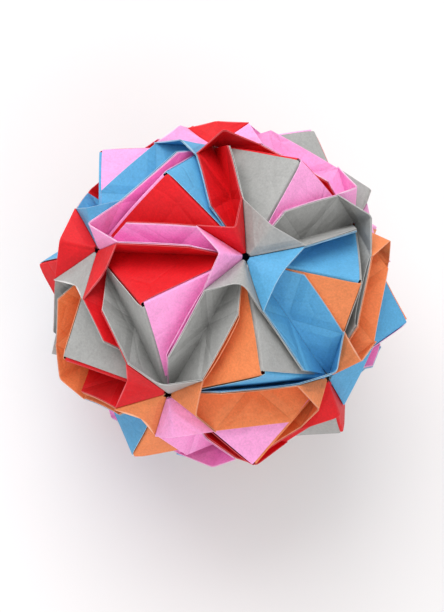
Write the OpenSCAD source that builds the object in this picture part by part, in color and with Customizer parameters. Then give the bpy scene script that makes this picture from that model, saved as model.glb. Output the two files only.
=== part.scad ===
// A kusudama ball of thirty folded paper units, one along each edge of an icosahedron.
// Every unit has a square body folded in a valley along its edge, two pointed tabs that lie
// on the next units, and two raised strips. A strip stands up as one wall of the unit's own
// boat, turns over the corner as a tip, and stands up again as a wall on the tab.

/* [Paper] */
// Side of the square sheet that one unit is folded from
sheet_side = 75; // [50:1:150]
// Thickness of a body or a tab, with its layers pressed together
body_thick = 0.3; // [0.2:0.02:0.4]
// Thickness of a raised strip, which is the paper laid double
strip_thick = 0.28; // [0.2:0.02:0.4]

/* [Folds] */
// Height of the raised strips above the edge they stand on
strip_height = 9.4; // [6:0.1:12]

/* [Fit] */
// Space between layers of different units
layer_gap = 0.1; // [0.06:0.02:0.2]
// From a corner of the ball to the tips round it, which leave a small hole there
eye_gap = 0.9; // [0.7:0.1:1.5]
// From a corner of the ball to the bodies and tabs under the tips
corner_gap = 1.8; // [1.6:0.1:3]
// From a corner of the ball to the narrow end of a tab that is tucked under a tip there
tab_gap = 5.5; // [5:0.1:7]

/* [Hidden] */
// The body of a unit is a square whose side is the diagonal of a quarter of the sheet's side.
quarter = sheet_side / 4;
edge = 2 * quarter;
ball_r = edge * sqrt((5 + sqrt(5)) / 8);
apex_r = edge * (3 + sqrt(5)) / (4 * sqrt(3)) + quarter * sqrt(2 / 3);
half_body = body_thick / 2;
half_strip = strip_thick / 2;
// From a body's inner face to the inner face of the tab that lies on it
level = body_thick + layer_gap;
// How far a tip reaches into the walls at its two sides
tip_lap = 0.6 * half_strip;
// From the middle of a wall to the middle of the tab's wall outside it
strip_step = strip_thick + layer_gap;

RED = "#d8141e";
PINK = "#ee6fbb";
BLUE = "#4fa9e0";
GREY = "#a3a3a1";
ORANGE = "#ea7440";

// Each unit: its name, its two corners, its colour, and how far each of its two walls leans
// out of upright. The first lean belongs to the wall whose tip is at the first corner.
// Corner 0 is the top, 1 to 5 the upper ring, 6 to 10 the lower ring and 11 the bottom.
UNITS = [
    ["top_unit_1", 0, 1, PINK, 24, 6],
    ["top_unit_2", 0, 2, GREY, 29, 29],
    ["top_unit_3", 0, 3, BLUE, 42, 47],
    ["top_unit_4", 0, 4, GREY, 21, 37],
    ["top_unit_5", 0, 5, RED, 2, 43],
    ["upper_unit_1", 1, 2, RED, 12, 11],
    ["upper_unit_2", 2, 3, ORANGE, 42, 42],
    ["upper_unit_3", 3, 4, ORANGE, 15, 35],
    ["upper_unit_4", 4, 5, PINK, 20, 41],
    ["upper_unit_5", 5, 1, BLUE, 38, 35],
    ["side_unit_01", 1, 10, RED, 17, 26],
    ["side_unit_02", 1, 6, GREY, 7, 10],
    ["side_unit_03", 2, 6, ORANGE, 8, 4],
    ["side_unit_04", 2, 7, PINK, 41, 41],
    ["side_unit_05", 3, 7, RED, 36, 45],
    ["side_unit_06", 3, 8, BLUE, 44, 28],
    ["side_unit_07", 4, 8, PINK, 30, 24],
    ["side_unit_08", 4, 9, GREY, 20, 32],
    ["side_unit_09", 5, 9, RED, 20, 27],
    ["side_unit_10", 5, 10, PINK, 27, 33],
    ["lower_unit_1", 6, 7, BLUE, 32, 25],
    ["lower_unit_2", 7, 8, GREY, 27, 34],
    ["lower_unit_3", 8, 9, ORANGE, 31, 23],
    ["lower_unit_4", 9, 10, ORANGE, 26, 33],
    ["lower_unit_5", 10, 6, BLUE, 28, 30],
    ["bottom_unit_1", 11, 6, PINK, 30, 29],
    ["bottom_unit_2", 11, 7, ORANGE, 30, 34],
    ["bottom_unit_3", 11, 8, RED, 30, 26],
    ["bottom_unit_4", 11, 9, BLUE, 30, 31],
    ["bottom_unit_5", 11, 10, GREY, 30, 27]
];
// Tips that are pressed down: the corner they stand on, the corner their unit runs to, and the
// share of a free tip's rise that is left. Below zero the tip is pushed in.
PRESSED = [
    [1, 2, -0.3],
    [1, 6, -0.2],
    [2, 6, 0.1],
    [4, 8, -0.2],
    [5, 1, 0.4],
    [8, 4, 0.1]
];

// Corners of the icosahedron
function unit_vec(v) = v / norm(v);
function ring_corner(turn, z) = [sqrt(1 - z * z) * cos(turn), sqrt(1 - z * z) * sin(turn), z];
CORNERS = concat(
    [[0, 0, 1]],
    [for (k = [0:4]) ring_corner(72 * k - 144, 1 / sqrt(5))],
    [for (k = [0:4]) ring_corner(72 * k - 108, -1 / sqrt(5))],
    [[0, 0, -1]]
);
function corner(i) = ball_r * CORNERS[i];
function joined(i, j) = i != j && CORNERS[i] * CORNERS[j] > 0.4;
// The corner on the left hand of someone who walks from x to y on the ball
function left_of(x, y) = [
    for (z = [0:11])
        if (joined(x, z) && joined(y, z) && cross(CORNERS[x], CORNERS[y]) * CORNERS[z] > 0) z
][0];
function apex(x, y) = apex_r * unit_vec(CORNERS[x] + CORNERS[y] + CORNERS[left_of(x, y)]);

// How far the wall from x to y, with its tip at x, leans to the right hand
function lean(x, y) = [
    for (u = UNITS)
        if (u[1] == x && u[2] == y) u[4]
        else if (u[1] == y && u[2] == x) u[5]
][0];

// Directions along the edge from x to y: forwards, upright and to the right hand
function ahead(x, y) = unit_vec(corner(y) - corner(x));
function upright(x, y) = unit_vec(corner(x) + corner(y));
function right_hand(x, y) = cross(ahead(x, y), upright(x, y));
// The direction up a leaning wall, and the direction out of its right face
function up_wall(x, y) = cos(lean(x, y)) * upright(x, y) + sin(lean(x, y)) * right_hand(x, y);
function out_wall(x, y) = cos(lean(x, y)) * right_hand(x, y) - sin(lean(x, y)) * upright(x, y);

// A plane is a direction and a distance, and as a side of a plate it keeps what lies behind it.
function plane(n, p) = [unit_vec(n), unit_vec(n) * p];
function shifted(pl, s) = [pl[0], pl[1] + s];
function flipped(pl) = [-pl[0], -pl[1]];
function meet(a, b, c) =
    (a[1] * cross(b[0], c[0]) + b[1] * cross(c[0], a[0]) + c[1] * cross(a[0], b[0]))
    / (a[0] * cross(b[0], c[0]));

// The outer face of the pyramid on the edge from x to y, on its left hand
function face(x, y) = plane(apex(x, y) - corner(left_of(x, y)), corner(x));
// The plane that halves the boat along the edge from x to y
function middle(x, y) = plane(right_hand(x, y), corner(x));
// The wall's own middle plane and the plane of its rim
function wall(x, y) = plane(out_wall(x, y), corner(x));
function rim(x, y) = shifted(plane(up_wall(x, y), corner(x)), strip_height);

// The tip at x joins the unit's own wall to the wall on its tab. Its root lies in the middle
// planes of both, level with the corner.
function tip_root(x, y) = meet(
    wall(x, y),
    shifted(wall(x, left_of(x, y)), strip_step),
    plane(CORNERS[x], corner(x))
);
function tip_start(x, y) = corner(x) + strip_height * (ahead(x, y) + up_wall(x, y));
function tip_stop(x, y) =
    let (z = left_of(x, y)) tip_start(x, z) + strip_step * out_wall(x, z);
// A free tip's crease is as long as the strip is high, and at 45 degrees to both of its sides.
function rise_share(x, y) =
    let (pressed = [for (p = PRESSED) if (p[0] == x && p[1] == y) p[2]])
    len(pressed) > 0 ? pressed[0] : 1;
function tip_crease(x, y) =
    let (
        a = unit_vec(tip_start(x, y) - tip_root(x, y)),
        b = unit_vec(tip_stop(x, y) - tip_root(x, y)),
        mid = unit_vec(a + b),
        over = unit_vec(cross(a, b)),
        rise = rise_share(x, y) * acos(min(1, sqrt(0.5) / (a * mid)))
    )
    tip_root(x, y) + strip_height * (cos(rise) * mid + sin(rise) * over);
function through(p, q, r) = plane(cross(q - p, r - p), p);
function first_half(x, y) = through(tip_root(x, y), tip_start(x, y), tip_crease(x, y));
function second_half(x, y) = through(tip_root(x, y), tip_crease(x, y), tip_stop(x, y));

// The other end of a wall is slanted too. It stays back from y far enough for its whole slant
// to pass under both halves of the tip there. out is how far the wall stands off the edge's
// own wall.
function stay_back(x, y, out, half, up) =
    (half[0] * (corner(y) + out * out_wall(x, y) + up * (up_wall(x, y) - ahead(x, y)))
        - half[1] + strip_step) / (half[0] * ahead(x, y));
function far_end(x, y, out) =
    let (
        back = [
            for (half = [first_half(y, x), second_half(y, x)])
                for (up = [0, strip_height]) stay_back(x, y, out, half, up)
        ]
    )
    plane(up_wall(x, y) + ahead(x, y), corner(y) - max(back) * ahead(x, y));

// The side that keeps a plate clear of corner x, across the direction that leads away from it
function clear_of(x, way, distance) = plane(-way, corner(x) + distance * unit_vec(way));

// What a side keeps of a flat convex outline
function height_over(pl, p) = pl[0] * p - pl[1];
function clipped(points, pl) = [
    for (k = [0:1:len(points) - 1])
        let (
            a = points[k],
            b = points[(k + 1) % len(points)],
            ha = height_over(pl, a),
            hb = height_over(pl, b)
        )
        each concat(ha <= 0 ? [a] : [], ha * hb < 0 ? [a + (b - a) * ha / (ha - hb)] : [])
];
function clipped_by_all(points, sides, k = 0) =
    k == len(sides) ? points : clipped_by_all(clipped(points, sides[k]), sides, k + 1);
// A square on a plane, wide enough to hold any plate
function wide_square(pl) =
    let (
        n = pl[0],
        u = unit_vec(cross(abs(n[2]) > 0.9 ? [1, 0, 0] : [0, 0, 1], n)) * 4 * ball_r,
        v = cross(n, u)
    )
    [for (s = [[1, 1], [-1, 1], [-1, -1], [1, -1]]) pl[1] * n + s[0] * u + s[1] * v];

// A flat plate of paper with its middle in a plane, cut square to that plane inside its sides
module plate(mid, thick, sides) {
    inside = [for (side = sides) shifted(side, -abs(side[0] * mid[0]) * thick / 2)];
    outline = clipped_by_all(wide_square(mid), inside);
    start = outline[0];
    u = unit_vec(outline[1] - start);
    n = mid[0];
    v = cross(n, u);
    frame = [
        [u[0], v[0], n[0], start[0]],
        [u[1], v[1], n[1], start[1]],
        [u[2], v[2], n[2], start[2]],
        [0, 0, 0, 1]
    ];
    multmatrix(frame)
        linear_extrude(height = thick, center = true)
            polygon([for (p = outline) [(p - start) * u, (p - start) * v]]);
}

// Plates that are joined reach into each other, so that each unit is one solid.

// Half of the body, on the left of the edge. At each corner one half ends a little before the
// other.
module body_half(x, y) {
    z = left_of(x, y);
    plate(shifted(face(x, y), half_body), body_thick, [
        shifted(middle(x, y), body_thick),
        clear_of(y, unit_vec(apex(x, y) - corner(y)) - ahead(x, y), corner_gap + body_thick),
        shifted(face(y, z), -layer_gap),
        shifted(face(z, x), level + half_body),
        flipped(shifted(wall(x, z), strip_step)),
        clear_of(x, unit_vec(apex(x, y) - corner(x)) + ahead(x, y), corner_gap)
    ]);
}

// The tab that the body's left half carries over the ridge at x
module tab(x, y) {
    z = left_of(x, y);
    plate(shifted(face(z, x), level + half_body), body_thick, [
        shifted(face(x, y), half_body),
        shifted(face(y, z), body_thick),
        clear_of(z, unit_vec(apex(x, y) - corner(z)) - ahead(x, z), tab_gap),
        flipped(shifted(wall(x, z), strip_step - half_strip / 2)),
        clear_of(x, unit_vec(apex(x, y) - corner(x)) + ahead(x, z), corner_gap)
    ]);
}

// A wall from x to y whose tip is at x
module strip_wall(x, y, out, bottom, slant_end) {
    plate(shifted(wall(x, y), out), strip_thick, [
        flipped(bottom),
        far_end(x, y, out),
        rim(x, y),
        shifted(slant_end, half_strip / 2),
        clear_of(x, ahead(x, y), eye_gap)
    ]);
}

module own_wall(x, y) {
    reach = tip_start(x, y) - tip_root(x, y);
    strip_wall(
        x, y, 0,
        shifted(plane(upright(x, y), corner(x)), half_body),
        plane(cross(out_wall(x, y), reach), tip_root(x, y))
    );
}

module tab_wall(x, y) {
    z = left_of(x, y);
    reach = tip_stop(x, y) - tip_root(x, y);
    strip_wall(
        x, z, strip_step,
        shifted(face(z, x), level + half_body / 2),
        plane(cross(out_wall(x, z), reach), tip_root(x, y))
    );
}

// The tip at x: two flat halves with a crease between them
module tip(x, y) {
    root = tip_root(x, y);
    start = tip_start(x, y);
    crease = tip_crease(x, y);
    stop = tip_stop(x, y);
    first = first_half(x, y);
    second = second_half(x, y);
    ridge = plane(cross(crease - root, first[0] + second[0]), root);
    eye = clear_of(x, unit_vec(start - root) + unit_vec(stop - root), eye_gap);
    plate(first, strip_thick, [
        shifted(plane(cross(start - root, first[0]), root), tip_lap),
        plane(cross(crease - start, first[0]), crease),
        shifted(flipped(ridge), half_strip),
        eye
    ]);
    plate(second, strip_thick, [
        shifted(ridge, half_strip),
        plane(cross(stop - crease, second[0]), crease),
        shifted(plane(cross(second[0], stop - root), root), tip_lap),
        eye
    ]);
}

// The ball rests on the crease ends of the five tips round its bottom corner
rest_height = half_strip - tip_crease(11, 6)[2];

module folded_unit(u) {
    translate([0, 0, rest_height]) color(u[3])
        for (way = [[u[1], u[2]], [u[2], u[1]]]) {
            body_half(way[0], way[1]);
            tab(way[0], way[1]);
            own_wall(way[0], way[1]);
            tab_wall(way[0], way[1]);
            tip(way[0], way[1]);
        }
}

for (u = UNITS) {
    folded_unit(u);
}
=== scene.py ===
"""A kusudama ball of thirty folded paper units, shown as thin sheets of coloured paper.

Every unit is one piece. It is made of closed paper sheets: two leaves that run from a tab over
a ridge to the valley of the body, and two raised strips of double paper that go from the
unit's own wall round a tip to the wall on the tab. Lengths in this script are in millimetres
until a mesh is made.
"""

import math

import bpy
import numpy as np
from mathutils import Matrix


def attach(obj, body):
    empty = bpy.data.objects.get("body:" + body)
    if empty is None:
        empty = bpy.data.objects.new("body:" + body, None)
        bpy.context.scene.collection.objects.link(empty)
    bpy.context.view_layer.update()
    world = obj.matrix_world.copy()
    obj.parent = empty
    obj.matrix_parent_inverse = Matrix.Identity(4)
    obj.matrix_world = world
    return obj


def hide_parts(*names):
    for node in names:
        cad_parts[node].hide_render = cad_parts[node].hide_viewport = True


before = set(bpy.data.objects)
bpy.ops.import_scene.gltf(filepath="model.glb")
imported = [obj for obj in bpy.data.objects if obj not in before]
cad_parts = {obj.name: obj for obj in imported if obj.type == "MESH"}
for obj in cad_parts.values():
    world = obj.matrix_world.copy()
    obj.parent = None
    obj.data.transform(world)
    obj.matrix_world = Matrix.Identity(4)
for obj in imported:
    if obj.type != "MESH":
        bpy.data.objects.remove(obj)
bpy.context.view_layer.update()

# Sizes of the fold pattern. EDGE is an edge of the icosahedron, LEG runs from a pyramid's apex
# to a corner of the ball, and BALL_R and APEX_R from the ball's middle to a corner and an apex.
SHEET = 75.0
QUARTER = SHEET / 4
EDGE = 2 * QUARTER
LEG = EDGE / math.sqrt(2)
BALL_R = EDGE * math.sqrt((5 + math.sqrt(5)) / 8)
APEX_R = EDGE * (3 + math.sqrt(5)) / (4 * math.sqrt(3)) + QUARTER * math.sqrt(2 / 3)
# Height of a raised strip, and the step from a unit's own wall to the tab wall outside it
HEIGHT = 9.4
STEP = 0.38
# Thickness of a leaf of a strip and of a leaf of the body
PAPER = 0.09
BODY_PAPER = PAPER * 1.5
# From the root of a tip to the edge of the small hole at the corner
EYE = 0.7
# Height of the ball's middle above the floor, and the size of a millimetre in the scene
REST = 41.82
MM = 0.001

# Each unit: corners, colour, and the lean of its two walls in degrees. The first lean belongs
# to the wall whose tip is at the first corner.
UNITS = {
    "top_unit_1": (0, 1, "pink", 24, 6),
    "top_unit_2": (0, 2, "grey", 29, 29),
    "top_unit_3": (0, 3, "blue", 42, 47),
    "top_unit_4": (0, 4, "grey", 21, 37),
    "top_unit_5": (0, 5, "red", 2, 43),
    "upper_unit_1": (1, 2, "red", 12, 11),
    "upper_unit_2": (2, 3, "orange", 42, 42),
    "upper_unit_3": (3, 4, "orange", 15, 35),
    "upper_unit_4": (4, 5, "pink", 20, 41),
    "upper_unit_5": (5, 1, "blue", 38, 35),
    "side_unit_01": (1, 10, "red", 17, 26),
    "side_unit_02": (1, 6, "grey", 7, 10),
    "side_unit_03": (2, 6, "orange", 8, 4),
    "side_unit_04": (2, 7, "pink", 41, 41),
    "side_unit_05": (3, 7, "red", 36, 45),
    "side_unit_06": (3, 8, "blue", 44, 28),
    "side_unit_07": (4, 8, "pink", 30, 24),
    "side_unit_08": (4, 9, "grey", 20, 32),
    "side_unit_09": (5, 9, "red", 20, 27),
    "side_unit_10": (5, 10, "pink", 27, 33),
    "lower_unit_1": (6, 7, "blue", 32, 25),
    "lower_unit_2": (7, 8, "grey", 27, 34),
    "lower_unit_3": (8, 9, "orange", 31, 23),
    "lower_unit_4": (9, 10, "orange", 26, 33),
    "lower_unit_5": (10, 6, "blue", 28, 30),
    "bottom_unit_1": (11, 6, "pink", 30, 29),
    "bottom_unit_2": (11, 7, "orange", 30, 34),
    "bottom_unit_3": (11, 8, "red", 30, 26),
    "bottom_unit_4": (11, 9, "blue", 30, 31),
    "bottom_unit_5": (11, 10, "grey", 30, 27),
}

# Tips and strips are named by the corner they stand at and the corner their own wall runs to.
# Tips that are pressed down, with the share of a free tip's rise that is left. Below zero the
# tip is pushed in.
PRESSED = {
    (1, 2): -0.3,
    (1, 6): -0.2,
    (2, 1): -0.4,
    (2, 6): 0.1,
    (3, 4): 0.8,
    (4, 5): 0.7,
    (4, 8): -0.2,
    (5, 1): 0.4,
    (5, 9): 0.4,
    (5, 10): 0.6,
    (8, 4): 0.1,
}
# How softly a tip is creased: the angle in degrees on each side of the crease that is rounded.
SOFTNESS = 6.0
SOFT_TIPS = {(0, 2): 20.0, (0, 3): 24.0, (2, 0): 12.0, (1, 2): 14.0, (3, 7): 14.0}
# The strips whose outer leaf stands off on the tab wall, and how far it does at the rim.
PARTED = {(2, 3): 0.55, (0, 1): 0.6, (4, 0): 0.8}


# ---------------------------------------------------------------- the ball's directions


def unit(v):
    """Vectors divided by their lengths, along the last axis."""
    v = np.asarray(v, float)
    return v / np.linalg.norm(v, axis=-1, keepdims=True)


def ring(turn, z):
    """A corner of the icosahedron on the unit sphere, at a turn in degrees and a height z."""
    a, r = math.radians(turn), math.sqrt(1 - z * z)
    return (r * math.cos(a), r * math.sin(a), z)


RING_Z = 1 / math.sqrt(5)
CORNERS = np.array(
    [(0, 0, 1)]
    + [ring(72 * k - 144, RING_Z) for k in range(5)]
    + [ring(72 * k - 108, -RING_Z) for k in range(5)]
    + [(0, 0, -1)]
)
# two corners of the icosahedron are neighbours where their directions' product is over this
NEIGHBOUR = 0.4

LEANS = {}
for x, y, _, lean_x, lean_y in UNITS.values():
    LEANS[x, y] = math.radians(lean_x)
    LEANS[y, x] = math.radians(lean_y)


def corner(i):
    """A corner of the ball: its direction times the ball's radius."""
    return BALL_R * CORNERS[i]


def left_of(x, y):
    """The corner on the left hand of someone who walks from x to y on the ball."""
    side = CORNERS @ np.cross(CORNERS[x], CORNERS[y])
    near = (CORNERS @ CORNERS[x] > NEIGHBOUR) & (CORNERS @ CORNERS[y] > NEIGHBOUR)
    return int(np.argmax(side * near))


def apex(x, y):
    """The apex of the pyramid on the left of the way from x to y, over its three corners."""
    return APEX_R * unit(CORNERS[x] + CORNERS[y] + CORNERS[left_of(x, y)])


def ahead(x, y):
    """The direction from corner x to corner y."""
    return unit(corner(y) - corner(x))


def upright(x, y):
    """The direction out of the ball at the middle of the edge from x to y."""
    return unit(corner(x) + corner(y))


def right_hand(x, y):
    """The direction to the right of someone who walks from x to y on the ball."""
    return np.cross(ahead(x, y), upright(x, y))


def up_wall(x, y):
    """Up the leaning wall: upright turned to the right hand by the wall's lean."""
    a = LEANS[x, y]
    return math.cos(a) * upright(x, y) + math.sin(a) * right_hand(x, y)


def out_wall(x, y):
    """Out of the right face of the leaning wall."""
    a = LEANS[x, y]
    return math.cos(a) * right_hand(x, y) - math.sin(a) * upright(x, y)


def outward_face(edge_1, edge_2, peak):
    """The normal of a pyramid's face between two of its edges, on the outer side."""
    normal = unit(np.cross(edge_1, edge_2))
    return normal * np.sign(normal @ peak)


def tip_frame(x, y):
    """A tip's root, and its directions to the start, the crease and the stop of its rim.

    The root is where the unit's own wall and its tab wall meet at the corner. The crease is at
    45 degrees to the start and to the stop, on the outer side of the plane through both. A
    pressed tip's crease keeps only a share of its rise over that plane."""
    z = left_of(x, y)
    planes = np.array([out_wall(x, y), out_wall(x, z), CORNERS[x]])
    sizes = [
        out_wall(x, y) @ corner(x),
        out_wall(x, z) @ corner(x) + STEP,
        BALL_R,
    ]
    root = np.linalg.solve(planes, sizes)
    start = corner(x) + HEIGHT * (ahead(x, y) + up_wall(x, y))
    stop = corner(x) + HEIGHT * (ahead(x, z) + up_wall(x, z)) + STEP * out_wall(x, z)
    a, b = unit(start - root), unit(stop - root)
    mid, over = unit(a + b), unit(np.cross(a, b))
    rise = PRESSED.get((x, y), 1.0) * math.acos(min(1.0, math.sqrt(0.5) / (a @ mid)))
    return root, a, math.cos(rise) * mid + math.sin(rise) * over, b


# room between a wall's slanted end and the tip that it passes under
TIP_ROOM = STEP + 0.12


def stay_back(x, y, out):
    """How far the slanted end of the wall from x stays back from y, to pass under the tip there.

    The end's foot and rim are set against the planes of the tip's two halves, and the larger
    distance along the wall counts. out is how far the wall stands outside its edge."""
    root, a, n, b = tip_frame(y, x)
    way, up = ahead(x, y), up_wall(x, y)
    back = []
    for one, two in ((a, n), (n, b)):
        m = unit(np.cross(one, two))
        for rise in (0.0, HEIGHT):
            p = corner(y) + out * out_wall(x, y) + rise * (up - way) - root
            back.append((m @ p + TIP_ROOM) / (m @ way))
    return max(back)


# ---------------------------------------------------------------- paper sheets

# Three waves across the ball for each of x, y and z, in radians a millimetre, with the waves'
# phases and their sizes
WAVES = np.array(
    [
        [(0.16, 0.05, -0.08), (-0.06, 0.14, 0.1), (0.2, -0.17, 0.12)],
        [(0.07, -0.15, 0.1), (0.12, 0.08, 0.15), (-0.22, 0.1, 0.14)],
        [(-0.1, 0.12, 0.13), (0.15, 0.1, -0.06), (0.12, 0.2, -0.18)],
    ]
)
PHASES = np.array([[0.3, 1.9, 4.1], [2.2, 5.0, 0.9], [3.6, 1.2, 2.7]])
WAVE_SIZES = np.array([0.16, 0.14, 0.08])
# keeps a normal defined where the slopes of a grid vanish
TINY = 1e-12


def drift(p):
    """A slow wander of the paper, the same for all sheets at a place, so layers stay in order.

    Each component is a sum of three sine waves across the ball, about 20 to 50 mm long."""
    swing = np.sin(np.einsum("...k,cwk->...cw", p, WAVES) + PHASES)
    return p + swing @ WAVE_SIZES


def across(grid):
    """The normals of a grid of points: the cross product of its slopes in its two directions."""
    du, dv = np.gradient(grid, axis=0), np.gradient(grid, axis=1)
    return unit(np.cross(du, dv) + TINY)


def sheet(grid, uv, thick, tone, raised, out):
    """Adds a closed sheet of paper to out, from a grid of points on its middle surface.

    Each point is moved by half the thickness along the surface's normal, to one side and the
    other, and the four borders are stitched. tone is the sheet's own shade, and raised is 1 for
    a leaf of a strip and 0 for one of the body."""
    grid = drift(grid)
    normal = across(grid)
    rows, cols = grid.shape[:2]
    front = (grid + normal * thick / 2).reshape(-1, 3)
    back = (grid - normal * thick / 2).reshape(-1, 3)
    index = np.arange(rows * cols).reshape(rows, cols)
    a, b, c, d = index[:-1, :-1], index[1:, :-1], index[1:, 1:], index[:-1, 1:]
    face = np.stack([a, b, c, d], -1).reshape(-1, 4)
    n = rows * cols
    rim = np.concatenate([index[:-1, 0], index[-1, :-1], index[:0:-1, -1], index[0, :0:-1]])
    after = np.roll(rim, -1)
    side = np.stack([rim, rim + n, after + n, after], -1)
    base = out["count"]
    out["points"].append(np.concatenate([front, back]))
    out["faces"].append(np.concatenate([face, face[:, ::-1] + n, side]) + base)
    out["cut"].append(np.concatenate([np.zeros(2 * len(face)), np.ones(len(side))]))
    flat = uv.reshape(-1, 2)
    out["uv"].append(np.concatenate([flat, flat]))
    out["tone"].append(np.full(2 * n, tone))
    out["raised"].append(np.full(2 * n, float(raised)))
    out["count"] += 2 * n


def eased(n, fine=1.6):
    """Values from 0 to 1 that lie closer together near both ends, the more so as fine grows."""
    t = np.linspace(-1, 1, n)
    return 0.5 + 0.5 * np.sign(t) * (1 - (1 - np.abs(t)) ** fine)


# How high the tab, the body and the ridge between them lie over the fold pattern's faces
TAB_LEVEL, BODY_LEVEL, RIDGE_LEVEL = 0.46, 0.16, 0.34
# How far from the ridge the body's level turns into the tab's
LEVEL_OVER = 2.0
# How wide the ridge is rounded on each side, and how fully
ROUND, FULL = 0.5, 1.1
# How far from the corners the tab and the body end, the least depth of a tab at its narrow
# end, and how far a leaf stays from the corner that the ridge runs to
TAB_SHORT, BODY_SHORT = 5.2, 2.4
TAB_DEPTH = 1.6
CORNER_ROOM = 1.9
# How far below the apex the tab and the body start, and how far halves meet past the valley
TAB_START, BODY_START = 0.42, 0.55
VALLEY_LAP = 0.02
# How high the tab's free edge lifts, over what distance from the ridge it grows and down the
# tab it fades, and the range of the tab's bulge
LIFT, LIFT_OVER, LIFT_FADE = 0.16, 4, 1.4
BULGE = (0.1, 0.3)
# Where the tab's columns start beside the ridge, the numbers of columns on the tab, the body
# and the round of the ridge, and of rows
TAB_FROM = 1.2
TAB_COLUMNS, BODY_COLUMNS, ROUND_COLUMNS, LEAF_ROWS = 22, 14, 7, 20


def body_leaf(x, y, out, rng):
    """The sheet from the tab over the ridge down to the valley of the body.

    It is a function of q, which runs across the ridge from the tab's narrow end, below zero, to
    the body's, and of e, which runs down along the ridge from the apex. The cross-section is a
    line on the tab, a small round at the ridge and a line on the body."""
    z = left_of(x, y)
    peak = apex(x, y)
    down = unit(corner(x) - peak)
    to_tab, to_body = unit(corner(z) - peak), unit(corner(y) - peak)
    out_tab = outward_face(down, to_tab, peak)
    out_body = outward_face(down, to_body, peak)
    wall_out = out_wall(x, z)

    def foot(start, side):
        """How far down the ridge's direction the tab meets the wall that stands on it."""
        p = start + side * to_tab
        return (wall_out @ corner(x) + STEP - p @ wall_out) / (down @ wall_out)

    # the tab ends before the corner, and where the leaning wall leaves no room for it
    tries = np.linspace(2, LEG - TAB_SHORT, 60)
    room = foot(peak + TAB_LEVEL * out_tab, tries[:, None]) > TAB_DEPTH
    tab_end, body_end = tries[room].max(), LEG - BODY_SHORT
    far = np.linspace(TAB_FROM, tab_end, TAB_COLUMNS)
    near = np.linspace(ROUND, body_end, BODY_COLUMNS)
    bend = np.linspace(-ROUND, ROUND, ROUND_COLUMNS)
    q = np.concatenate([-far[::-1], bend, near[1:]])
    q = np.unique(np.round(q, 6))
    on_tab = q < 0
    k = np.abs(q)
    # the ridge's round: the line on each side is eased into the other
    soft = np.where(k < ROUND, (ROUND - k) ** 2 / (4 * ROUND) * FULL, 0.0)
    share = np.clip(-q / LEVEL_OVER, 0, 1)
    level = BODY_LEVEL + (TAB_LEVEL - BODY_LEVEL) * share
    side = np.where(on_tab[:, None], to_tab, to_body)
    outward = np.where(on_tab[:, None], out_tab, out_body)
    both = unit(out_tab + out_body)
    apex_out = peak + both * (RIDGE_LEVEL / (both @ out_tab))
    line = (
        apex_out
        + k[:, None] * side
        + outward * (level - RIDGE_LEVEL)[:, None]
        - both * soft[:, None]
    )
    # down along the ridge, from just short of the ridge above to the wall's foot or the valley
    last = np.where(on_tab, np.minimum(foot(line, 0.0), LEG - k), LEG - k + VALLEY_LAP)
    last = np.minimum(last, LEG - CORNER_ROOM)
    first = np.where(on_tab, TAB_START, BODY_START)
    span = eased(LEAF_ROWS)
    e = first[:, None] + (last - first)[:, None] * span
    grid = line[:, None] + e[..., None] * down
    # the tab's free edge lifts a little off the ridge beside it
    lift = LIFT * np.exp(-e / LIFT_FADE) * np.clip(-q / LIFT_OVER, 0, 1)[:, None]
    # the tab bulges a little between its edges
    swell = rng.uniform(*BULGE) * np.sin(np.pi * np.clip(-q / tab_end, 0, 1))[:, None]
    swell = swell * np.sin(np.pi * span)
    grid = grid + (lift + swell)[..., None] * outward[:, None]
    uv = np.stack([np.broadcast_to(q[:, None], e.shape), e], -1)
    sheet(grid, uv, BODY_PAPER, rng.uniform(), 0, out)


# Half the angle of a tip on the flat sheet, and its columns on each side and in the bend
HALF_TIP = 45
SIDE_COLUMNS, BEND_COLUMNS = 10, 13


def turned(x, y):
    """The tip's directions and its rim's distances, for angles round the unfolded corner.

    The angles run from -45 to 45 degrees. The directions run in an arc from the start to the
    crease and in another on to the stop, and the rim is a straight line on each side. Within
    the tip's softness of the crease the directions follow a Bezier curve with the crease as its
    handle."""
    root, a, n, b = tip_frame(x, y)
    soft = SOFT_TIPS.get((x, y), SOFTNESS)
    near = np.linspace(-soft, soft, BEND_COLUMNS)
    before = np.linspace(-HALF_TIP, -soft, SIDE_COLUMNS)[:-1]
    after = np.linspace(soft, HALF_TIP, SIDE_COLUMNS)[1:]
    psi = np.concatenate([before, near, after])
    end = np.where(psi[:, None] < 0, a, b)
    span = np.arccos(end @ n)
    w = np.abs(psi) / HALF_TIP * span
    aside = unit(end - (end @ n)[:, None] * n)
    d = np.cos(w)[:, None] * n + np.sin(w)[:, None] * aside
    root_2 = math.sqrt(2)
    reach = HEIGHT * root_2 * np.sin(span) / (np.sin(w) + root_2 * np.sin(span - w))

    def edge_of_bend(rim_end):
        """The direction on one arc at which the bend starts."""
        angle = math.acos(rim_end @ n) * soft / HALF_TIP
        return math.cos(angle) * n + math.sin(angle) * unit(rim_end - (rim_end @ n) * n)

    left, right = edge_of_bend(a), edge_of_bend(b)
    u = ((psi + soft) / (2 * soft))[:, None]
    curve = unit((1 - u) ** 2 * left + 2 * u * (1 - u) * n + u**2 * right)
    d = np.where(np.abs(psi)[:, None] < soft, curve, d)
    return root, psi, d, reach


# A strip's rows, as shares of the way from its foot to its rim
SHARE = eased(11, 1.4)
# A wall's columns, as shares of the way from its tip to its far end
WAY = eased(30, 1.3)[:, None]


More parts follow.
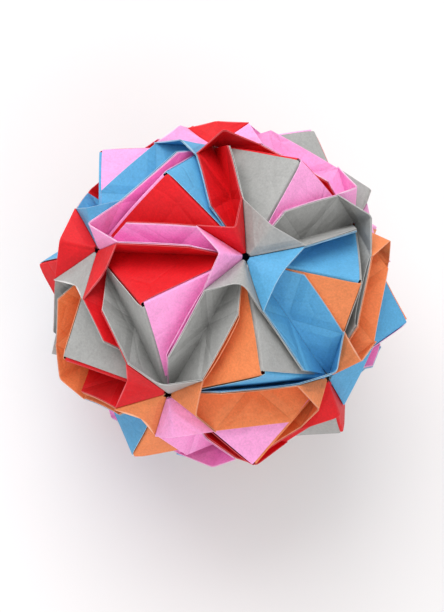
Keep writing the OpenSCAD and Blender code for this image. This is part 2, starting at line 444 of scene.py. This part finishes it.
def wall(way, up, place, foot, back, sign):
    """A wall's grid of points from its tip to its far end, and its place on the flat sheet.

    A point is the corner plus s along the way and t up the wall. The columns start on the line
    that slants up at 45 degrees from the corner, and after a twelfth of the way they run from
    foot to rim. They end on the slanted far end, which stays back from the next corner. sign is
    -1 for a unit's own wall and 1 for a tab wall, which lie on two sides of the corner on the
    sheet."""
    slant = EYE * math.sqrt(0.5)
    t0 = slant + (HEIGHT - slant) * SHARE
    t1 = foot + (HEIGHT - foot) * SHARE
    s1 = EDGE - back - t1
    t = t0 + (t1 - t0) * np.clip(WAY * 12, 0, 1)
    s = t0 + (s1 - t0) * WAY
    return place + s[..., None] * way + t[..., None] * up, np.stack([sign * s, t], -1)


# How high the walls start over the edge, the least of it for a tab wall, and how far the tab
# wall's foot stays over the face under it; its outer leaf stands half the strip further out
OWN_FOOT, TAB_FOOT = 0.12, 0.35
FACE_ROOM, HALF_STRIP = 0.25, 0.1
# From a strip's middle to each leaf's middle at the foot, how much more it is at the rim at
# least, how much more where it swings along the strip, and how many swings there are
LEAF_GAP, FLARE, FLARE_SWING, SWINGS = 0.055, 0.02, 0.06, 2.3


def strip(x, y, out, rng):
    """The raised strip at corner x, of two leaves: own wall, tip and tab wall in one band.

    It is a function of the place along the rim and of the share of the way from the foot to
    the rim. On the walls the point is foot plus share times the way to the rim. On the tip it
    is the root plus the direction at that angle times a length that runs from the eye of the
    corner to the rim."""
    z = left_of(x, y)
    root, psi, d, reach = turned(x, y)
    r = EYE + (reach - EYE)[:, None] * SHARE
    tip = root + r[..., None] * d[:, None]
    angle = np.radians(90 + psi)
    tip_uv = np.stack([-r * np.cos(angle)[:, None], r * np.sin(angle)[:, None]], -1)
    own, own_uv = wall(
        ahead(x, y), up_wall(x, y), corner(x), OWN_FOOT, stay_back(x, y, 0.0), -1
    )
    # the tab wall starts just above the body of the next unit, on which the tab lies
    up, wall_out = up_wall(x, z), out_wall(x, z)
    peak = apex(x, y)
    face = outward_face(corner(x) - peak, corner(z) - peak, peak)
    under = corner(x) + (STEP + HALF_STRIP) * wall_out - peak
    above_body = (FACE_ROOM - under @ face) / (up @ face)
    tab, tab_uv = wall(
        ahead(x, z),
        up,
        corner(x) + STEP * wall_out,
        max(TAB_FOOT, above_body),
        stay_back(x, z, STEP),
        1,
    )
    band = np.concatenate([own[:0:-1], tip, tab[1:]])
    uv = np.concatenate([own_uv[:0:-1], tip_uv, tab_uv[1:]])
    normal = across(band)
    # the two leaves lie close at the foot and part a little toward the rim
    along = np.linspace(0, 1, len(band))[:, None]
    flare = FLARE + FLARE_SWING * np.sin(np.pi * (SWINGS * along + rng.uniform())) ** 2
    gap = LEAF_GAP + flare * SHARE**3
    # on some tab walls the outer leaf stands off, most in the middle of the wall
    hump = np.sin(np.pi * np.linspace(0, 1, len(tab) - 1) ** 1.4)
    loose = np.zeros((len(band), 1))
    loose[1 - len(tab) :, 0] = np.sqrt(np.clip(hump, 0, 1))
    loose = PARTED.get((x, y), 0.0) * loose * SHARE**1.5
    outer = np.sign(normal[-1, -1] @ wall_out)
    for hand in (-1, 1):
        off = hand * gap + outer * loose * (hand == outer)
        sheet(band + off[..., None] * normal, uv, PAPER, rng.uniform(), 1, out)


# Edges that turn by more than this, in degrees, are shaded sharp
SHARP = 28


def paper_piece(name, colour, x, y, rng):
    """One folded unit as a mesh object at the origin, with its place in the mesh."""
    out = {"points": [], "faces": [], "cut": [], "uv": [], "tone": [], "raised": [], "count": 0}
    for one, two in ((x, y), (y, x)):
        body_leaf(one, two, out, rng)
        strip(one, two, out, rng)
    points = np.concatenate(out["points"]) + (0, 0, REST)
    faces = np.concatenate(out["faces"])
    mesh = bpy.data.meshes.new(name)
    mesh.vertices.add(len(points))
    mesh.vertices.foreach_set("co", (points * MM).astype(np.float32).ravel())
    mesh.loops.add(faces.size)
    mesh.loops.foreach_set("vertex_index", faces.astype(np.int32).ravel())
    mesh.polygons.add(len(faces))
    mesh.polygons.foreach_set("loop_start", np.arange(0, faces.size, 4, dtype=np.int32))
    mesh.update(calc_edges=True)
    uv = np.concatenate(out["uv"])[faces.ravel()]
    layer = mesh.uv_layers.new(name="sheet_mm")
    layer.data.foreach_set("uv", uv.astype(np.float32).ravel())
    for mark, place in (("cut", "FACE"), ("tone", "POINT"), ("raised", "POINT")):
        values = mesh.attributes.new(mark, "FLOAT", place)
        values.data.foreach_set("value", np.concatenate(out[mark]).astype(np.float32))
    mesh.polygons.foreach_set("use_smooth", np.ones(len(faces), bool))
    mesh.set_sharp_from_angle(angle=math.radians(SHARP))
    mesh.materials.append(MATERIALS[colour])
    piece = bpy.data.objects.new(name + "_paper", mesh)
    bpy.context.scene.collection.objects.link(piece)
    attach(piece, "root")
    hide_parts(name)


# ---------------------------------------------------------------- paper materials


def linear(hex_colour):
    """An sRGB colour such as d8141e as linear values with alpha."""
    parts = [int(hex_colour[i : i + 2], 16) / 255 for i in (0, 2, 4)]
    return tuple(
        c / 12.92 if c <= 0.04045 else ((c + 0.055) / 1.055) ** 2.4 for c in parts
    ) + (1.0,)


def wired(tree, kind, inputs=None, **settings):
    """A new node with its settings, input values and links."""
    node = tree.nodes.new(kind)
    for key, value in settings.items():
        setattr(node, key, value)
    for key, value in (inputs or {}).items():
        if isinstance(value, bpy.types.NodeSocket):
            tree.links.new(value, node.inputs[key])
        else:
            node.inputs[key].default_value = value
    return node


def math_node(tree, operation, *values):
    """The result of a Math node on sockets and numbers."""
    inputs = dict(enumerate(values))
    return wired(tree, "ShaderNodeMath", inputs, operation=operation).outputs[0]


def weighed(tree, *parts):
    """The sum of sockets, each times its own weight."""
    total = None
    for socket, weight in parts:
        part = math_node(tree, "MULTIPLY", socket, weight)
        total = part if total is None else math_node(tree, "ADD", total, part)
    return total


def noise(tree, place, scale, detail, roughness):
    """A Noise texture's value, with scale in waves a metre."""
    inputs = {"Vector": place, "Scale": scale, "Detail": detail, "Roughness": roughness}
    return wired(tree, "ShaderNodeTexNoise", inputs).outputs["Fac"]


def bumped(tree, height, strength, distance, normal=None):
    """The normal of a surface with this height, in metres for a height of 1, over another."""
    inputs = {"Height": height, "Strength": strength, "Distance": distance}
    if normal is not None:
        inputs["Normal"] = normal
    return wired(tree, "ShaderNodeBump", inputs).outputs["Normal"]


def blended(tree, share, colour, other):
    """Two colours mixed, the other one by its share."""
    # the node's sockets for colours are 6 and 7 and output 2, after those for other values
    inputs = {"Factor": share, 6: colour, 7: other}
    return wired(tree, "ShaderNodeMix", inputs, data_type="RGBA").outputs[2]


def group(name, inputs, outputs):
    """An empty shader node group with its named sockets, its source and its sink."""
    g = bpy.data.node_groups.new(name, "ShaderNodeTree")
    for side, sockets in (("OUTPUT", outputs), ("INPUT", inputs)):
        for socket, kind in sockets:
            g.interface.new_socket(socket, in_out=side, socket_type="NodeSocket" + kind)
    return g, g.nodes.new("NodeGroupInput"), g.nodes.new("NodeGroupOutput")


# The cut-off from the edges of cells, in cells, and the heights of dents and grain in metres
CREASE_REACH = 0.05
DENT_HEIGHT, GRAIN_HEIGHT = 0.001, 0.00008


def fibre_group():
    """Paper fibre: a soft mottle, and a normal with dents and a fine grain.

    All of it follows the object's own place. The mottle is a weighed sum of three noises. The
    dents are a noise plus the distance to the edges of cells, cut off a short way from them,
    which gives faint creases."""
    g, source, sink = group(
        "paper fibre", [("Strength", "Float")], [("Mottle", "Float"), ("Normal", "Vector")]
    )
    place = wired(g, "ShaderNodeTexCoord").outputs["Object"]
    cloud = noise(g, place, 260.0, 4.0, 0.6)
    fine = noise(g, place, 1900.0, 3.0, 0.75)
    wide = noise(g, place, 55.0, 2.0, 0.5)
    dents = noise(g, place, 120.0, 2.0, 0.45)
    cells = wired(
        g,
        "ShaderNodeTexVoronoi",
        {"Vector": place, "Scale": 85.0, "Randomness": 1.0},
        feature="DISTANCE_TO_EDGE",
    )
    crease = math_node(g, "MINIMUM", cells.outputs["Distance"], CREASE_REACH)
    dented = bumped(g, weighed(g, (dents, 0.9), (crease, 1.6)), 1.0, DENT_HEIGHT)
    grain = bumped(g, fine, source.outputs["Strength"], GRAIN_HEIGHT, dented)
    g.links.new(weighed(g, (cloud, 0.25), (fine, 0.6), (wide, 0.15)), sink.inputs["Mottle"])
    g.links.new(grain, sink.inputs["Normal"])
    return g


# How far the paper stays bent beside a fold line, and how wide the band under a strip's rim is
# that gets a painted highlight
BEND_REACH = 2.8
RIM_WIDTH = 0.16


def crease_group():
    """Fold lines and rims of the raised strips, from distances on the flat sheet.

    The fold lines run at 45 degrees from the rim down to the middle of the wall's foot and up
    again, and along the sides of the tip. Line is one minus the distance to the nearest of them
    over the line's width. Bend is that distance, up to where the paper is flat again. Rim grows
    from 0 to 1 over the last bit below the strip's rim."""
    g, source, sink = group(
        "strip creases",
        [("Width", "Float")],
        [("Line", "Float"), ("Rim", "Float"), ("Bend", "Float")],
    )
    place = wired(g, "ShaderNodeUVMap", uv_map="sheet_mm").outputs["UV"]
    parts = wired(g, "ShaderNodeSeparateXYZ", {0: place})
    u = math_node(g, "ABSOLUTE", parts.outputs["X"])
    v = parts.outputs["Y"]
    u_less_v = math_node(g, "SUBTRACT", u, v)
    u_and_v = math_node(g, "ADD", u, v)
    down = math_node(g, "ABSOLUTE", math_node(g, "SUBTRACT", u_and_v, 2 * HEIGHT))
    up = math_node(g, "ABSOLUTE", math_node(g, "SUBTRACT", u_less_v, EDGE - 2 * HEIGHT))
    side = math_node(g, "ABSOLUTE", u_less_v)
    near = math_node(g, "MINIMUM", math_node(g, "MINIMUM", down, up), side)
    wide = math_node(g, "DIVIDE", near, source.outputs["Width"])
    # Line marks the fold lines, where the material paints shade
    line = math_node(g, "SUBTRACT", 1.0, math_node(g, "MINIMUM", wide, 1.0))
    bend = math_node(g, "MINIMUM", near, BEND_REACH)
    # Rim marks the band under the strip's rim, where the material paints a highlight
    rim = math_node(g, "MAXIMUM", math_node(g, "SUBTRACT", v, HEIGHT - RIM_WIDTH), 0.0)
    rim = math_node(g, "MULTIPLY", rim, 1 / RIM_WIDTH)
    raised = wired(g, "ShaderNodeAttribute", attribute_name="raised").outputs["Fac"]
    for name, value in (("Line", line), ("Rim", rim), ("Bend", bend)):
        g.links.new(math_node(g, "MULTIPLY", value, raised), sink.inputs[name])
    return g


# How much the paper's brightness varies with the mottle and from sheet to sheet
MOTTLED = {"From Min": 0.3, "From Max": 0.7, "To Min": 0.8, "To Max": 1.2}
SHEET_TONE, DARKEST_SHEET = 0.06, 0.97
# Fold lines: their width in millimetres, how much painted shade darkens them, how dark that
# painted shade is as a share of the paper's colour, and the height in metres of a millimetre's
# distance from them
FOLD_WIDTH, FOLD_SHADE_SHARE, FOLD_SHADE_DARKNESS = 0.35, 0.2, 0.45
FOLD_RISE = 0.00014
# How much painted highlight pales cut edges and the strips' rims, and the strength of the fine
# grain
CUT_HIGHLIGHT, RIM_HIGHLIGHT = 0.7, 0.5
GRAIN = 0.35


def paper_material(colour, hex_colour, highlight_hex, fibre, creases):
    """Matt coloured paper: colour, mottle, tone per sheet, painted shade on folds, painted
    highlight on edges.
    """
    m = bpy.data.materials.new(colour + " paper")
    m.use_nodes = True
    tree = m.node_tree
    shader = tree.nodes["Principled BSDF"]
    grain = wired(tree, "ShaderNodeGroup", node_tree=fibre)
    grain.inputs["Strength"].default_value = GRAIN
    folds = wired(tree, "ShaderNodeGroup", node_tree=creases)
    folds.inputs["Width"].default_value = FOLD_WIDTH
    tone = wired(tree, "ShaderNodeAttribute", attribute_name="tone").outputs["Fac"]
    cut = wired(tree, "ShaderNodeAttribute", attribute_name="cut").outputs["Fac"]
    mottle = wired(
        tree, "ShaderNodeMapRange", {"Value": grain.outputs["Mottle"], **MOTTLED}
    ).outputs["Result"]
    own_tone = math_node(
        tree, "ADD", math_node(tree, "MULTIPLY", tone, SHEET_TONE), DARKEST_SHEET
    )
    bright = math_node(tree, "MULTIPLY", mottle, own_tone)
    base = wired(
        tree, "ShaderNodeHueSaturation", {"Color": linear(hex_colour), "Value": bright}
    ).outputs["Color"]
    # painted shade: the colour is darkened along the fold lines, standing in for the shade in the
    # creases
    crease_shade_share = math_node(tree, "MULTIPLY", folds.outputs["Line"], FOLD_SHADE_SHARE)
    crease_shade_colour = [FOLD_SHADE_DARKNESS * c for c in linear(hex_colour)[:3]] + [1.0]
    base = blended(tree, crease_shade_share, base, crease_shade_colour)
    # painted highlight: cut edges and the band under each strip's rim are mixed toward the paler
    # colour, standing in for light that catches them
    pale = math_node(
        tree,
        "MAXIMUM",
        math_node(tree, "MULTIPLY", cut, CUT_HIGHLIGHT),
        math_node(tree, "MULTIPLY", folds.outputs["Rim"], RIM_HIGHLIGHT),
    )
    base = blended(tree, pale, base, linear(highlight_hex))
    normal = bumped(tree, folds.outputs["Bend"], 1.0, FOLD_RISE, grain.outputs["Normal"])
    tree.links.new(base, shader.inputs["Base Color"])
    tree.links.new(normal, shader.inputs["Normal"])
    shader.inputs["Roughness"].default_value = 0.62
    shader.inputs["Specular IOR Level"].default_value = 0.35
    return m


# Each paper's colour, and the paler colour of the painted highlight on its cut edges and rims
PAPERS = {
    "red": ("d80e1a", "ea6a70"),
    "pink": ("f8a4da", "fcd6ee"),
    "blue": ("58a4d1", "b8dcf0"),
    "grey": ("a5a5a3", "d8d8d6"),
    "orange": ("e98650", "f9ba98"),
}
fibre = fibre_group()
creases = crease_group()
MATERIALS = {
    colour: paper_material(colour, hex_colour, highlight_hex, fibre, creases)
    for colour, (hex_colour, highlight_hex) in PAPERS.items()
}

rng = np.random.default_rng(30)
for unit_name, (x, y, colour, _, _) in UNITS.items():
    paper_piece(unit_name, colour, x, y, rng)

# ---------------------------------------------------------------- floor, light and camera

# Half the floor's side in metres, and the plain share of the light that is seen of it
FLOOR = 3.0
PLAIN_SHARE = 0.18


def pale_floor():
    """A wide pale floor that keeps the ball's soft shadow.

    Where it is seen, directly or in a gloss, a share of its light is plain white, which makes
    its shadows softer. It lights the ball as an ordinary surface does."""
    mesh = bpy.data.meshes.new("floor")
    s = FLOOR
    mesh.from_pydata([(-s, -s, 0), (s, -s, 0), (s, s, 0), (-s, s, 0)], [], [(0, 1, 2, 3)])
    floor = bpy.data.objects.new("floor", mesh)
    bpy.context.scene.collection.objects.link(floor)
    m = bpy.data.materials.new("pale floor")
    m.use_nodes = True
    tree = m.node_tree
    shader = tree.nodes["Principled BSDF"]
    shader.inputs["Base Color"].default_value = linear("f0eeee")
    shader.inputs["Roughness"].default_value = 0.9
    shader.inputs["Specular IOR Level"].default_value = 0.1
    plain = wired(tree, "ShaderNodeEmission", {"Color": linear("f4f3f3")})
    ray = wired(tree, "ShaderNodeLightPath").outputs
    seen = math_node(tree, "ADD", ray["Is Camera Ray"], ray["Is Glossy Ray"])
    seen = math_node(tree, "ADD", seen, ray["Is Transmission Ray"])
    seen = math_node(tree, "MINIMUM", seen, 1.0)
    share = math_node(tree, "MULTIPLY", seen, PLAIN_SHARE)
    both = wired(
        tree, "ShaderNodeMixShader", {"Fac": share, 1: shader.outputs[0], 2: plain.outputs[0]}
    )
    tree.links.new(both.outputs[0], tree.nodes["Material Output"].inputs["Surface"])
    mesh.materials.append(m)


MIDDLE = np.array([0, 0, REST * MM])


def soft_light(name, direction, distance, size, power):
    """A square area light that looks at the middle of the ball from a direction.

    Its distance from there and the side of its square are in metres, and its power in watts."""
    data = bpy.data.lights.new(name, "AREA")
    data.size = size
    data.energy = power
    lamp = bpy.data.objects.new(name, data)
    bpy.context.scene.collection.objects.link(lamp)
    toward = unit(direction)
    x_axis = unit(np.cross((0, 0, 1), toward))
    turn = np.eye(4)
    turn[:3, 0], turn[:3, 1], turn[:3, 2] = x_axis, np.cross(toward, x_axis), toward
    turn[:3, 3] = MIDDLE + distance * toward
    lamp.matrix_world = Matrix(turn.tolist())


def rotation(vector):
    """The rotation matrix of a turn by the vector's length in radians round the vector."""
    angle = np.linalg.norm(vector)
    k = vector / angle
    cross = np.array([[0, -k[2], k[1]], [k[2], 0, -k[0]], [-k[1], k[0], 0]])
    return np.eye(3) + math.sin(angle) * cross + (1 - math.cos(angle)) * cross @ cross


# The rows of LOOK are the camera's own axes: right, up, toward the camera. The camera looks at
# the ball's middle from a distance in metres. The size of the picture, the focal length and
# the place of the ball's middle in the picture are in its pixels. SENSOR is in millimetres.
LOOK = rotation(np.array([-0.28124, 0.05220, -0.81127]))
DISTANCE = 0.8403
PICTURE_WIDTH, PICTURE_HEIGHT = 444, 612
FOCAL = 3584.3
MIDDLE_X, MIDDLE_Y = 222.54, 292.78
SENSOR = 36

pale_floor()
# the lights' directions are in the camera's own axes
toward_window = np.array([-0.15, 0.75, 0.65]) @ LOOK
toward_fill = np.array([0.35, -0.7, 0.65]) @ LOOK
soft_light("window", toward_window, distance=1.1, size=1.0, power=10.5)
soft_light("fill", toward_fill, distance=1.3, size=1.6, power=7.5)

world = bpy.data.worlds.new("room")
bpy.context.scene.world = world
world.use_nodes = True
sky = world.node_tree.nodes["Background"].inputs
sky["Color"].default_value = (1.0, 1.0, 1.0, 1)
sky["Strength"].default_value = 0.62

camera_data = bpy.data.cameras.new("camera")
camera_data.sensor_width = SENSOR
camera_data.lens = SENSOR * FOCAL / PICTURE_HEIGHT
camera_data.shift_x = -(MIDDLE_X - PICTURE_WIDTH / 2) / PICTURE_HEIGHT
camera_data.shift_y = (MIDDLE_Y - PICTURE_HEIGHT / 2) / PICTURE_HEIGHT
camera_data.clip_start, camera_data.clip_end = 0.05, 10
camera = bpy.data.objects.new("camera", camera_data)
bpy.context.scene.collection.objects.link(camera)
pose = np.eye(4)
pose[:3, :3] = LOOK.T
pose[:3, 3] = MIDDLE + LOOK.T @ (0, 0, DISTANCE)
camera.matrix_world = Matrix(pose.tolist())
bpy.context.scene.camera = camera

bpy.context.scene.view_settings.view_transform = "Standard"
